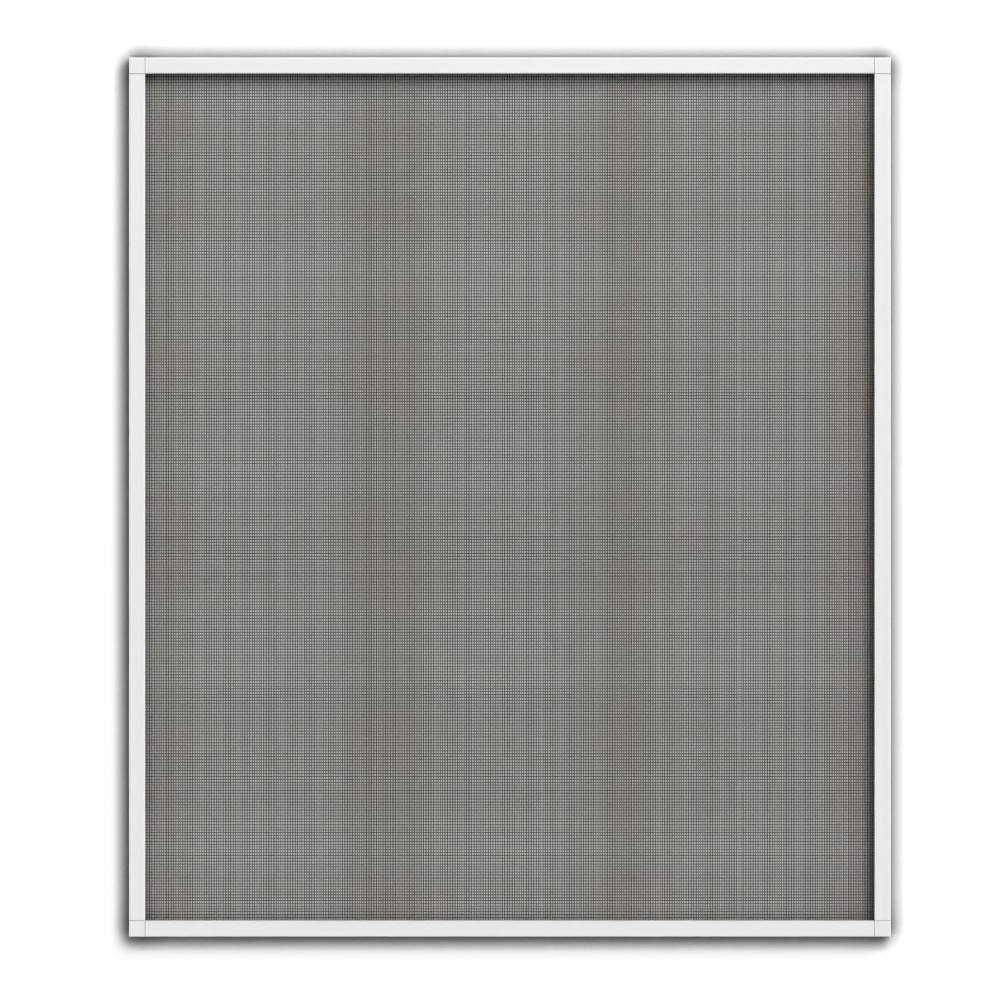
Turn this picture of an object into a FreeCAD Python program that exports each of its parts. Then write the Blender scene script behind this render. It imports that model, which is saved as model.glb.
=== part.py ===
# Window insect screen: four roll-formed bars, four moulded corner keys, woven cloth and its spline.
# Upright as it hangs in a window: X across, -Y the smooth front, +Z up, origin under the bottom rail.
import FreeCAD, Part
import math
import os
import Sketcher

doc = FreeCAD.newDocument("window_screen_frame")

# Driving dimensions, in millimetres
DIMENSIONS = (
    ("overall_width", "904"),
    ("overall_height", "1043.4"),
    ("bar_width", "19.05"),
    ("bar_depth", "11.1"),
    ("strip_gauge", "0.6"),
    ("inside_bend", "0.4"),
    ("seam_gap", "0.3"),
    ("lip_flat", "0.6"),
    ("lip_drop", "1"),
    ("spline_diameter", "3.2"),
    ("spline_flats", "12"),
    ("spline_clearance", "0.05"),
    ("spline_sink", "0.55"),
    ("spline_joint_inset", "70"),
    ("spline_end_gap", "1"),
    ("groove_inside_radius", "1.3"),
    ("edge_break", "0.35"),
    ("leg_length", "32"),
    ("leg_clearance", "0.15"),
    ("leg_wall", "2"),
    ("leg_lead_in", "1.2"),
    ("barb_height", "0.9"),
    ("barb_clearance", "0.05"),
    ("barb_length", "3.2"),
    ("barb_pitch", "6"),
    ("barb_count", "4"),
    ("cloth_thickness", "0.4"),
    ("bed_height", "0.1"),
    ("strand_height", "0.45"),
    ("strand_end_margin", "2"),
    ("strand_share", "0.9"),
    ("strands_beside_gap", "4"),
    ("gap_columns", "10"),
    ("gap_rows", "12"),
    ("gap_share", "0.64"),
)
sizes = doc.addObject("Spreadsheet::Sheet", "sizes")
for row, (alias, number) in enumerate(DIMENSIONS, 1):
    sizes.set(f"A{row}", alias)
    sizes.set(f"B{row}", number)
    sizes.setAlias(f"B{row}", alias)
doc.recompute()

# Dimensions that follow from them; u runs across a bar from the middle of its face to the opening
FOLLOWING = (
    ("half_face", "sizes.bar_width / 2"),
    ("back", "sizes.bar_depth / 2"),
    ("front", "-back"),
    ("inner", "half_face"),
    ("outer", "-half_face"),
    ("outside_bend", "sizes.inside_bend + sizes.strip_gauge"),
    ("lip_width", "2 * outside_bend + sizes.lip_flat"),
    ("groove_width", "sizes.spline_diameter + 2 * (sizes.cloth_thickness + sizes.spline_clearance)"),
    ("groove_depth", "sizes.lip_drop + sizes.spline_sink + sizes.spline_diameter"
                     " + sizes.spline_clearance + sizes.cloth_thickness"),
    ("lip_top", "back - sizes.lip_drop"),
    ("groove_floor", "back - groove_depth"),
    ("groove_near", "inner - lip_width"),
    ("groove_far", "groove_near - groove_width"),
    ("seam_near", "groove_near - groove_width / 2 + sizes.seam_gap / 2"),
    ("seam_far", "seam_near - sizes.seam_gap"),
    ("front_inside", "front + sizes.strip_gauge"),
    ("back_inside", "back - sizes.strip_gauge"),
    ("lip_inside", "lip_top - sizes.strip_gauge"),
    ("floor_inside", "groove_floor - sizes.strip_gauge"),
    ("outer_inside", "outer + sizes.strip_gauge"),
    ("inner_inside", "inner - sizes.strip_gauge"),
    ("groove_near_inside", "groove_near + sizes.strip_gauge"),
    ("groove_far_inside", "groove_far - sizes.strip_gauge"),
    ("rail_length", "sizes.overall_width - 2 * sizes.bar_width"),
    ("stile_length", "sizes.overall_height - 2 * sizes.bar_width"),
    ("half_rail", "rail_length / 2"),
    ("half_stile", "stile_length / 2"),
    ("head_reach", "half_face + sizes.bar_width"),
    ("groove_outside_radius", "sizes.groove_inside_radius + groove_width"),
    ("leg_back", "back_inside - sizes.leg_clearance"),
    ("leg_front", "front_inside + sizes.leg_clearance"),
    ("leg_far", "outer_inside + sizes.barb_clearance + sizes.barb_height"),
    ("leg_near", "groove_far_inside - sizes.barb_clearance - sizes.barb_height"),
    ("barb_far", "leg_far - sizes.barb_height"),
    ("barb_near", "leg_near + sizes.barb_height"),
    ("leg_tip", "half_face + sizes.leg_length"),
    ("barb_start", "half_face + sizes.leg_wall"),
    ("leg_depth", "leg_back - leg_front"),
    ("barb_depth", "leg_depth - 2 * sizes.inside_bend"),
    ("channel_far", "leg_far + sizes.leg_wall"),
    ("channel_near", "leg_near - sizes.leg_wall"),
    ("channel_root", "half_face + sizes.leg_wall"),
    ("channel_tip", "leg_tip - sizes.leg_wall"),
    ("channel_depth", "leg_depth - sizes.leg_wall"),
    ("cloth_back", "lip_top + sizes.cloth_thickness"),
    ("tuck_depth", "cloth_back - groove_floor"),
    ("tuck_side", "half_rail + lip_width"),
    ("tuck_top", "half_stile + lip_width"),
    ("channel_side", "tuck_side + sizes.cloth_thickness"),
    ("channel_top", "tuck_top + sizes.cloth_thickness"),
    ("channel_radius", "sizes.groove_inside_radius + sizes.cloth_thickness"),
    ("wall_side", "tuck_side + groove_width"),
    ("wall_top", "tuck_top + groove_width"),
    ("flap_side", "wall_side - sizes.cloth_thickness"),
    ("flap_top", "wall_top - sizes.cloth_thickness"),
    ("flap_radius", "groove_outside_radius - sizes.cloth_thickness"),
    ("spline_side", "tuck_side + groove_width / 2"),
    ("spline_top", "tuck_top + groove_width / 2"),
    ("spline_radius", "sizes.groove_inside_radius + groove_width / 2"),
    ("spline_level", "groove_floor + sizes.cloth_thickness + sizes.spline_clearance"
                     " + sizes.spline_diameter / 2"),
    ("spline_start", "sizes.spline_joint_inset - spline_side"),
    ("spline_finish", "spline_start - sizes.spline_end_gap"),
    ("warp_top", "half_stile - sizes.strand_end_margin"),
    ("weft_right", "half_rail - sizes.strand_end_margin"),
    ("column_pitch", "2 * weft_right / sizes.gap_columns"),
    ("row_pitch", "2 * warp_top / sizes.gap_rows"),
    ("gap_width", "column_pitch * sizes.gap_share"),
    ("gap_height", "row_pitch * sizes.gap_share"),
    ("gap_left", "(column_pitch - gap_width) / 2 - weft_right"),
    ("gap_right", "gap_left + gap_width"),
    ("gap_bottom", "(row_pitch - gap_height) / 2 - warp_top"),
    ("gap_top", "gap_bottom + gap_height"),
    ("warp_pitch", "(column_pitch - gap_width) / 2 / sizes.strands_beside_gap"),
    ("weft_pitch", "(row_pitch - gap_height) / 2 / sizes.strands_beside_gap"),
    ("warp_width", "warp_pitch * sizes.strand_share"),
    ("weft_width", "weft_pitch * sizes.strand_share"),
    ("left_warp_start", "(warp_pitch - warp_width) / 2 - weft_right"),
    ("left_warp_finish", "left_warp_start + warp_width"),
    ("right_warp_start", "(warp_pitch - warp_width) / 2 + gap_right"),
    ("right_warp_finish", "right_warp_start + warp_width"),
    ("lower_weft_start", "(weft_pitch - weft_width) / 2 - warp_top"),
    ("lower_weft_finish", "lower_weft_start + weft_width"),
    ("upper_weft_start", "(weft_pitch - weft_width) / 2 + gap_top"),
    ("upper_weft_finish", "upper_weft_start + weft_width"),
    ("warp_foot", "lip_top - sizes.bed_height"),
    ("warp_crest", "warp_foot - sizes.strand_height"),
    ("weft_foot", "cloth_back + sizes.bed_height"),
    ("weft_crest", "weft_foot + sizes.strand_height"),
)
worked = doc.addObject("App::VarSet", "worked")
for name, formula in FOLLOWING:
    worked.addProperty("App::PropertyFloat", name)
    worked.setExpression(name, formula)
doc.recompute()


def formula_of(name):
    """The expression that reads a named value, with a leading minus for its mirror image."""
    sign, bare = ("-", name[1:]) if name.startswith("-") else ("", name)
    owner = "worked" if hasattr(worked, bare) else "sizes"
    return f"{sign}{owner}.{bare}"


def number_of(name):
    """The present number of a named value, with a leading minus for its mirror image."""
    sign, bare = (-1, name[1:]) if name.startswith("-") else (1, name)
    owner = worked if hasattr(worked, bare) else sizes
    return sign * float(getattr(owner, bare))


def new_sketch(body, name, role, level=None):
    """A sketch on one of the body's origin planes, moved along its normal to a named level."""
    sketch = body.newObject("Sketcher::SketchObject", name)
    plane = next(item for item in body.Origin.OriginFeatures if item.Role == role)
    sketch.AttachmentSupport = [(plane, "")]
    sketch.MapMode = "FlatFace"
    if level:
        sketch.setExpression("AttachmentOffset.Base.z", formula_of(level))
    return sketch


def held(kind, element, point, name):
    """A rule that holds one point of a sketch at a named distance from the sketch's origin."""
    return Sketcher.Constraint(kind, -1, 1, element, point, number_of(name)), formula_of(name)


def constrain(sketch, rules):
    """Add a sketch's rules together, then bind those that carry an expression."""
    indices = sketch.addConstraint([rule for rule, formula in rules])
    for index, (rule, formula) in zip(indices, rules):
        if formula:
            sketch.setExpression(f"Constraints[{index}]", formula)


def stepped_outline(sketch, levels):
    """A closed outline whose lines run by turns upright and level, each held at a named distance."""
    values = [number_of(name) for name in levels]
    count = len(levels)
    corners = []
    for i in range(count):
        here, following = values[i], values[(i + 1) % count]
        x, y = (here, following) if i % 2 == 0 else (following, here)
        corners.append(FreeCAD.Vector(x, y, 0))
    first = sketch.GeometryCount
    sketch.addGeometry([Part.LineSegment(corners[i - 1], corners[i]) for i in range(count)])
    rules = []
    for i in range(count):
        upright = i % 2 == 0
        rules.append((Sketcher.Constraint("Coincident", first + i, 2, first + (i + 1) % count, 1), None))
        rules.append((Sketcher.Constraint("Vertical" if upright else "Horizontal", first + i), None))
        rules.append(held("DistanceX" if upright else "DistanceY", first + i, 1, levels[i]))
    constrain(sketch, rules)


def rounded_outline(sketch, side, top, radius, start=None, finish=None):
    """A rounded rectangle about the sketch's origin, left open between two places on its lower line."""
    half, high, bend = number_of(side), number_of(top), number_of(radius)
    left, right, low, up = bend - half, half - bend, bend - high, high - bend
    begin = number_of(start) if start else left
    lines = [((begin, -high), (right, -high)), ((half, low), (half, up)),
             ((right, high), (left, high)), ((-half, up), (-half, low))]
    centres = [(right, low), (right, up), (left, up), (left, low)]
    geometry = []
    for turn, (line, centre) in enumerate(zip(lines, centres)):
        geometry.append(Part.LineSegment(*(FreeCAD.Vector(x, y, 0) for x, y in line)))
        circle = Part.Circle(FreeCAD.Vector(*centre, 0), FreeCAD.Vector(0, 0, 1), bend)
        geometry.append(Part.ArcOfCircle(circle, math.radians(90 * (turn - 1)), math.radians(90 * turn)))
    if start:
        end = FreeCAD.Vector(number_of(finish), -high, 0)
        geometry.append(Part.LineSegment(FreeCAD.Vector(left, -high, 0), end))
    first = sketch.GeometryCount
    sketch.addGeometry(geometry)
    count = len(geometry)
    joins = count - 1 if start else count
    rules = []
    for i in range(joins):
        rules.append((Sketcher.Constraint("Tangent", first + i, 2, first + (i + 1) % count, 1), None))
    for i in range(0, count, 2):
        rules.append((Sketcher.Constraint("Horizontal" if i % 4 == 0 else "Vertical", first + i), None))
    for i in (3, 5, 7):
        rules.append((Sketcher.Constraint("Equal", first + 1, first + i), None))
    rules.append((Sketcher.Constraint("Radius", first + 1, bend), formula_of(radius)))
    rules.append(held("DistanceY", first, 1, f"-{top}"))
    rules.append(held("DistanceX", first + 2, 1, side))
    rules.append(held("DistanceY", first + 4, 1, top))
    rules.append(held("DistanceX", first + 6, 1, f"-{side}"))
    if start:
        rules.append(held("DistanceX", first, 1, start))
        rules.append(held("DistanceX", first + 8, 2, finish))
    constrain(sketch, rules)


def add_feature(body, kind, name, **bound):
    """A PartDesign feature with its sizes bound to named values; it becomes the body's tip."""
    feature = body.newObject(f"PartDesign::{kind}", name)
    for prop, size in bound.items():
        feature.setExpression(prop, formula_of(size))
    body.Tip = feature
    return feature


def edges_where(shape, wanted):
    """The names of a shape's edges whose middle point passes a test."""
    names = []
    for index, edge in enumerate(shape.Edges, 1):
        if wanted(edge.valueAt((edge.FirstParameter + edge.LastParameter) / 2)):
            names.append(f"Edge{index}")
    return names


def near(a, b):
    return abs(a - b) < 0.001


# Bars: one section, folded from painted strip round a hollow, with the spline groove and its lip
def make_bar(label, length, turn, across=None, up=None):
    """A bar along X, its front to -Y and the opening to +Z, turned about Y and set at its place."""
    body = doc.addObject("PartDesign::Body", label)
    section = new_sketch(body, f"{label}_section", "YZ_Plane")
    stepped_outline(section, (
        "groove_floor", "groove_near", "lip_top", "inner", "front", "outer", "back", "groove_far",
        "groove_floor", "seam_far", "floor_inside", "groove_far_inside", "back_inside", "outer_inside",
        "front_inside", "inner_inside", "lip_inside", "groove_near_inside", "floor_inside", "seam_near"))
    pad = add_feature(body, "Pad", f"{label}_length", Length=length)
    pad.Profile = section
    pad.SideType = "Symmetric"
    doc.recompute()
    outside = (("lip_top", "groove_near"), ("lip_top", "inner"), ("front", "inner"),
               ("front", "outer"), ("back", "outer"), ("back", "groove_far"))
    inside = (("lip_inside", "groove_near_inside"), ("lip_inside", "inner_inside"),
              ("front_inside", "inner_inside"), ("front_inside", "outer_inside"),
              ("back_inside", "outer_inside"), ("back_inside", "groove_far_inside"))
    base = pad
    for kind, places, radius in (("outside", outside, "outside_bend"), ("inside", inside, "inside_bend")):
        spots = [(number_of(depth), number_of(u)) for depth, u in places]
        bend = add_feature(body, "Fillet", f"{label}_{kind}_bends", Radius=radius)
        bend.Base = (base, edges_where(base.Shape, lambda p: near(p.x, 0) and any(
            near(p.y, depth) and near(p.z, u) for depth, u in spots)))
        doc.recompute()
        base = bend
    body.Placement = FreeCAD.Placement(FreeCAD.Vector(), FreeCAD.Rotation(FreeCAD.Vector(0, 1, 0), turn))
    if across:
        body.setExpression("Placement.Base.x", across)
    if up:
        body.setExpression("Placement.Base.z", up)
    return body


SIDE = "(sizes.overall_width - sizes.bar_width) / 2"
TOP = "sizes.overall_height - sizes.bar_width / 2"
MIDDLE = "sizes.overall_height / 2"
BOTTOM = "sizes.bar_width / 2"
parts = [
    make_bar("bottom_rail", "rail_length", 0, up=BOTTOM),
    make_bar("top_rail", "rail_length", 180, up=TOP),
    make_bar("left_stile", "stile_length", 90, across=f"-{SIDE}", up=MIDDLE),
    make_bar("right_stile", "stile_length", -90, across=SIDE, up=MIDDLE),
]


# Corner keys: a square head flush with the bars, and two barbed legs pushed into their hollows
def make_corner_key(label, turn, across, up):
    """A corner key with its head about the origin and its legs along +X and +Z, turned about Y."""
    body = doc.addObject("PartDesign::Body", label)
    face = new_sketch(body, f"{label}_face", "XZ_Plane")
    stepped_outline(face, ("outer", "outer", "inner", "inner"))
    head = add_feature(body, "Pad", f"{label}_head", Length="bar_depth")
    head.Profile = face
    head.SideType = "Symmetric"
    groove_plan = new_sketch(body, f"{label}_groove_plan", "XZ_Plane", "front")
    stepped_outline(groove_plan, (
        "groove_far", "head_reach", "groove_near", "groove_near", "head_reach", "groove_far"))
    groove = add_feature(body, "Pocket", f"{label}_groove", Length="groove_depth")
    groove.Profile = groove_plan
    groove.Reversed = True
    doc.recompute()
    far, close = number_of("groove_far"), number_of("groove_near")
    base = groove
    turns = (("outside", far, "groove_outside_radius"), ("inside", close, "groove_inside_radius"))
    for kind, place, radius in turns:
        turn_fillet = add_feature(body, "Fillet", f"{label}_{kind}_turn", Radius=radius)
        turn_fillet.Base = (base, edges_where(base.Shape, lambda p: near(p.x, place) and near(p.z, place)))
        doc.recompute()
        base = turn_fillet
    lip_plan = new_sketch(body, f"{label}_lip_plan", "XZ_Plane", "front")
    stepped_outline(lip_plan, ("groove_near", "groove_near", "head_reach", "head_reach"))
    lip = add_feature(body, "Pocket", f"{label}_lip", Length="lip_drop")
    lip.Profile = lip_plan
    lip.Reversed = True
    doc.recompute()
    outer, front, back, shoulder = (number_of(name) for name in ("outer", "front", "back", "inner"))

    def on_outer_face(p):
        return (near(p.x, outer) or near(p.z, outer)) and near(abs(p.y), back)

    def on_joint_line(p):
        on_shoulder = near(p.x, shoulder) != near(p.z, shoulder)
        outside = min(p.x, p.z) < far and not near(p.y, back)
        return on_shoulder and (near(p.y, front) or outside)

    rounding = add_feature(body, "Fillet", f"{label}_rounding", Radius="outside_bend")
    rounding.Base = (lip, edges_where(lip.Shape, on_outer_face))
    doc.recompute()
    breaks = add_feature(body, "Chamfer", f"{label}_edge_breaks", Size="edge_break")
    breaks.Base = (rounding, edges_where(rounding.Shape, on_joint_line))
    doc.recompute()
    leg_plan = new_sketch(body, f"{label}_leg_plan", "YZ_Plane", "half_face")
    stepped_outline(leg_plan, ("leg_front", "leg_far", "leg_back", "leg_near"))
    leg = add_feature(body, "Pad", f"{label}_leg", Length="leg_length")
    leg.Profile = leg_plan
    channel_plan = new_sketch(body, f"{label}_channel_plan", "XZ_Plane", "-leg_back")
    stepped_outline(channel_plan, ("channel_root", "channel_far", "channel_tip", "channel_near"))
    channel = add_feature(body, "Pocket", f"{label}_channel", Length="channel_depth")
    channel.Profile = channel_plan
    channel.Reversed = True
    barb_plan = new_sketch(body, f"{label}_barb_plan", "XZ_Plane")
    lines, rules = [], []
    for tooth in range(int(number_of("barb_count"))):
        root = number_of("barb_start") + tooth * number_of("barb_pitch")
        root_formula = f"worked.barb_start + {tooth} * sizes.barb_pitch"
        for seat, crest in (("leg_far", "barb_far"), ("leg_near", "barb_near")):
            points = ((root, root_formula, seat), (root, root_formula, crest),
                      (root + number_of("barb_length"), f"{root_formula} + sizes.barb_length", seat))
            spots = [FreeCAD.Vector(along, number_of(level), 0) for along, formula, level in points]
            for i, (along, formula, level) in enumerate(points):
                line = len(lines)
                lines.append(Part.LineSegment(spots[i], spots[(i + 1) % 3]))
                following = line + 1 if i < 2 else line - 2
                rules.append((Sketcher.Constraint("Coincident", line, 2, following, 1), None))
                rules.append((Sketcher.Constraint("DistanceX", -1, 1, line, 1, along), formula))
                rules.append(held("DistanceY", line, 1, level))
    barb_plan.addGeometry(lines)
    constrain(barb_plan, rules)
    barbs = add_feature(body, "Pad", f"{label}_barbs", Length="barb_depth")
    barbs.Profile = barb_plan
    barbs.SideType = "Symmetric"
    doc.recompute()
    diagonal = body.newObject("PartDesign::Plane", f"{label}_diagonal")
    upright = next(item for item in body.Origin.OriginFeatures if item.Role == "YZ_Plane")
    diagonal.AttachmentSupport = [(upright, "")]
    diagonal.MapMode = "FlatFace"
    diagonal_turn = FreeCAD.Rotation(FreeCAD.Vector(1, 0, 0), 45)
    diagonal.AttachmentOffset = FreeCAD.Placement(FreeCAD.Vector(), diagonal_turn)
    doc.recompute()
    other_leg = add_feature(body, "Mirrored", f"{label}_other_leg")
    other_leg.Originals = [leg, channel, barbs]
    other_leg.MirrorPlane = (diagonal, [""])
    doc.recompute()
    tip = number_of("leg_tip")
    lead_in = add_feature(body, "Chamfer", f"{label}_lead_in", Size="leg_lead_in")
    lead_in.Base = (other_leg, edges_where(other_leg.Shape, lambda p: near(max(p.x, p.z), tip)))
    doc.recompute()
    body.Placement = FreeCAD.Placement(FreeCAD.Vector(), FreeCAD.Rotation(FreeCAD.Vector(0, 1, 0), turn))
    body.setExpression("Placement.Base.x", across)
    body.setExpression("Placement.Base.z", up)
    return body


parts += [
    make_corner_key("corner_key_bottom_left", 0, f"-{SIDE}", BOTTOM),
    make_corner_key("corner_key_bottom_right", -90, SIDE, BOTTOM),
    make_corner_key("corner_key_top_right", 180, SIDE, TOP),
    make_corner_key("corner_key_top_left", 90, f"-{SIDE}", TOP),
]

# Cloth: one stretched wall with a gutter tucked into the groove all round, ridged with warp and weft
cloth = doc.addObject("PartDesign::Body", "insect_screen")
blank_plan = new_sketch(cloth, "cloth_blank_plan", "XZ_Plane", "-cloth_back")
rounded_outline(blank_plan, "wall_side", "wall_top", "groove_outside_radius")
blank = add_feature(cloth, "Pad", "cloth_blank", Length="tuck_depth")
blank.Profile = blank_plan
hollow_plan = new_sketch(cloth, "cloth_hollow_plan", "XZ_Plane", "-groove_floor")
rounded_outline(hollow_plan, "tuck_side", "tuck_top", "groove_inside_radius")
hollow = add_feature(cloth, "Pocket", "cloth_hollow")
hollow.setExpression("Length", "worked.tuck_depth - sizes.cloth_thickness")
hollow.Profile = hollow_plan
gutter_plan = new_sketch(cloth, "cloth_gutter_plan", "XZ_Plane", "-cloth_back")
rounded_outline(gutter_plan, "flap_side", "flap_top", "flap_radius")
rounded_outline(gutter_plan, "channel_side", "channel_top", "channel_radius")
gutter = add_feature(cloth, "Pocket", "cloth_gutter")
gutter.setExpression("Length", "worked.tuck_depth - sizes.cloth_thickness")
gutter.Profile = gutter_plan
gutter.Reversed = True
doc.recompute()


def add_bed(name, level, outward):
    """The thin layer of the wall that one set of threads lies on."""
    bed_plan = new_sketch(cloth, f"{name}_bed_plan", "XZ_Plane", level)
    stepped_outline(bed_plan, ("-weft_right", "-warp_top", "weft_right", "warp_top"))
    bed = add_feature(cloth, "Pad", f"{name}_bed", Length="bed_height")
    bed.Profile = bed_plan
    bed.Reversed = outward


def add_strands(name, side, section_role, length, axis, cells, cell_pitch):
    """The threads on one side of every gap: a first gabled ridge, then its copies along an axis."""
    start, finish = f"{side}_{name}_start", f"{side}_{name}_finish"
    foot, crest = f"{name}_foot", f"{name}_crest"
    section = new_sketch(cloth, f"{side}_{name}_section", section_role)
    flat = section_role == "XY_Plane"
    middle = (number_of(start) + number_of(finish)) / 2
    points = ((start, number_of(start), foot), (finish, number_of(finish), foot), (None, middle, crest))
    spots = []
    for place, distance, height in points:
        x, y = (distance, number_of(height)) if flat else (number_of(height), distance)
        spots.append(FreeCAD.Vector(x, y, 0))
    section.addGeometry([Part.LineSegment(spots[i], spots[(i + 1) % 3]) for i in range(3)])
    rules = [(Sketcher.Constraint("Equal", 1, 2), None)]
    for i, (place, distance, height) in enumerate(points):
        rules.append((Sketcher.Constraint("Coincident", i, 2, (i + 1) % 3, 1), None))
        rules.append(held("DistanceY" if flat else "DistanceX", i, 1, height))
        if place:
            rules.append(held("DistanceX" if flat else "DistanceY", i, 1, place))
    constrain(section, rules)
    strand = add_feature(cloth, "Pad", f"{side}_{name}_strand")
    strand.setExpression("Length", f"2 * worked.{length}")
    strand.Profile = section
    strand.SideType = "Symmetric"
    strand.Refine = False
    doc.recompute()
    copies = add_feature(cloth, "LinearPattern", f"{side}_{name}_strands",
                         Occurrences="strands_beside_gap", Occurrences2=cells)
    copies.Originals = [strand]
    direction = (next(item for item in cloth.Origin.OriginFeatures if item.Role == axis), [""])
    copies.Direction = direction
    copies.Direction2 = direction
    copies.setExpression("Length", f"worked.{name}_pitch * (sizes.strands_beside_gap - 1)")
    copies.setExpression("Length2", f"worked.{cell_pitch} * (sizes.{cells} - 1)")
    copies.Refine = False
    doc.recompute()


add_bed("warp", "-lip_top", False)
add_strands("warp", "left", "XY_Plane", "warp_top", "X_Axis", "gap_columns", "column_pitch")
add_strands("warp", "right", "XY_Plane", "warp_top", "X_Axis", "gap_columns", "column_pitch")
add_bed("weft", "-cloth_back", True)
add_strands("weft", "lower", "YZ_Plane", "weft_right", "Z_Axis", "gap_rows", "row_pitch")
add_strands("weft", "upper", "YZ_Plane", "weft_right", "Z_Axis", "gap_rows", "row_pitch")
gap_plan = new_sketch(cloth, "gap_plan", "XZ_Plane", "-weft_foot")
stepped_outline(gap_plan, ("gap_left", "gap_bottom", "gap_right", "gap_top"))
gap = add_feature(cloth, "Pocket", "gap")
gap.setExpression("Length", "worked.weft_foot - worked.warp_foot")
gap.Profile = gap_plan
gap.Reversed = True
gap.Refine = False
doc.recompute()
gaps = add_feature(cloth, "LinearPattern", "gaps", Occurrences="gap_columns", Occurrences2="gap_rows")
gaps.Originals = [gap]
gaps.Direction = (next(item for item in cloth.Origin.OriginFeatures if item.Role == "X_Axis"), [""])
gaps.Direction2 = (next(item for item in cloth.Origin.OriginFeatures if item.Role == "Z_Axis"), [""])
gaps.setExpression("Length", "worked.column_pitch * (sizes.gap_columns - 1)")
gaps.setExpression("Length2", "worked.row_pitch * (sizes.gap_rows - 1)")
gaps.Refine = False
doc.recompute()
cloth.setExpression("Placement.Base.z", MIDDLE)
parts.append(cloth)

# Spline: one vinyl cord rolled into the groove over the cloth, its two ends meeting on the bottom rail
spline = doc.addObject("PartDesign::Body", "screen_spline")
route = new_sketch(spline, "spline_route", "XZ_Plane", "-spline_level")
rounded_outline(route, "spline_side", "spline_top", "spline_radius", "spline_start", "spline_finish")
cord = new_sketch(spline, "spline_cord", "YZ_Plane", "spline_start")
flats = int(number_of("spline_flats"))
level, depth, radius = number_of("spline_level"), number_of("-spline_top"), number_of("spline_diameter") / 2
turns = [360 * i / flats for i in range(flats)]
corners = []
for turn in turns:
    angle = math.radians(turn)
    corners.append(FreeCAD.Vector(level + radius * math.cos(angle), depth + radius * math.sin(angle), 0))
cord.addGeometry([Part.LineSegment(corners[i - 1], corners[i]) for i in range(flats)])
rules = []
for i, turn in enumerate(turns):
    across = f"worked.spline_level + sizes.spline_diameter / 2 * cos({turn} deg)"
    up = f"sizes.spline_diameter / 2 * sin({turn} deg) - worked.spline_top"
    rules.append((Sketcher.Constraint("Coincident", i, 2, (i + 1) % flats, 1), None))
    rules.append((Sketcher.Constraint("DistanceX", -1, 1, i, 2, corners[i].x), across))
    rules.append((Sketcher.Constraint("DistanceY", -1, 1, i, 2, corners[i].y), up))
constrain(cord, rules)
doc.recompute()
rolled = add_feature(spline, "AdditivePipe", "spline_rolled")
rolled.Profile = cord
rolled.Spine = (route, [f"Edge{i}" for i in range(1, len(route.Shape.Edges) + 1)])
doc.recompute()
spline.setExpression("Placement.Base.z", MIDDLE)
parts.append(spline)
doc.recompute()

# Every object and shape is checked before anything is written
for item in doc.Objects:
    if "Invalid" in item.State or "Error" in item.State:
        raise RuntimeError(f"{item.Label} failed: {item.State}")
for part in parts:
    if part.Shape.isNull() or not part.Shape.isValid() or len(part.Shape.Solids) != 1:
        raise RuntimeError(f"{part.Label} is not one valid solid")
os.makedirs("parts", exist_ok=True)
for part in parts:
    part.Shape.exportStep(f"parts/{part.Label}.step")
    print(part.Label, round(part.Shape.Volume, 1), part.Shape.BoundBox)
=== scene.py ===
"""A window screen frame: white roll-formed bars, moulded corner keys, woven cloth and its spline."""

import math

import bpy
import numpy as np
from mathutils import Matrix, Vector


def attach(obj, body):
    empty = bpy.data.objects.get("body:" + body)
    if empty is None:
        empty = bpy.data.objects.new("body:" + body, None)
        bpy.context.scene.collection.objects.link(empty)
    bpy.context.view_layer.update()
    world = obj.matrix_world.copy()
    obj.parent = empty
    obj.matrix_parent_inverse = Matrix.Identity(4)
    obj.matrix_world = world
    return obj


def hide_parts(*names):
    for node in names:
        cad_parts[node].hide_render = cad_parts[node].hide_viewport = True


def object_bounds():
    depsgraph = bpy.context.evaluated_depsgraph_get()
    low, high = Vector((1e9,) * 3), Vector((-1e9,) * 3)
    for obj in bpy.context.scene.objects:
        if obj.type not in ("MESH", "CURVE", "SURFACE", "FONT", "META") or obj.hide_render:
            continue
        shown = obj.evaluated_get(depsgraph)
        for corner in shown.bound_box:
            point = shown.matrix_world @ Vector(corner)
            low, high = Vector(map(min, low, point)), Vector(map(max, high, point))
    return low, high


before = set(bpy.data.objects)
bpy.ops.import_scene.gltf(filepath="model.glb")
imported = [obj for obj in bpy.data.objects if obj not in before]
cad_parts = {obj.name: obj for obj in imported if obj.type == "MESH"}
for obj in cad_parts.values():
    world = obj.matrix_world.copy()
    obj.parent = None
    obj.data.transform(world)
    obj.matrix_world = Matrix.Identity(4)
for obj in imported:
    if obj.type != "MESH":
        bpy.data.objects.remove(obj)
cad_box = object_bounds()
MM = 0.001

# The four bars are aluminium strip, 0.6 mm thick, roll-formed into a hollow section and cut square.
# The strip is coated with white enamel and baked before it is formed, so its finish is smooth and
# satin, with faint lines along the bar from the rollers and a slight orange peel.
BAR_WIDTH = 19.05
ENAMEL_WHITE = "#E6E6E6"
ENAMEL_SHADE = "#E2E2E2"
ENAMEL_ROUGHNESS = (0.34, 0.44)
ENAMEL_IOR = 1.5
ROLL_LINE_SPACING = 1.6
ROLL_LINE_LENGTH = 420.0
ROLL_LINE_HEIGHT = 0.012
ORANGE_PEEL_SIZE = 2.2
ORANGE_PEEL_HEIGHT = 0.010
COAT_CLOUD_SIZE = 240.0
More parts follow.
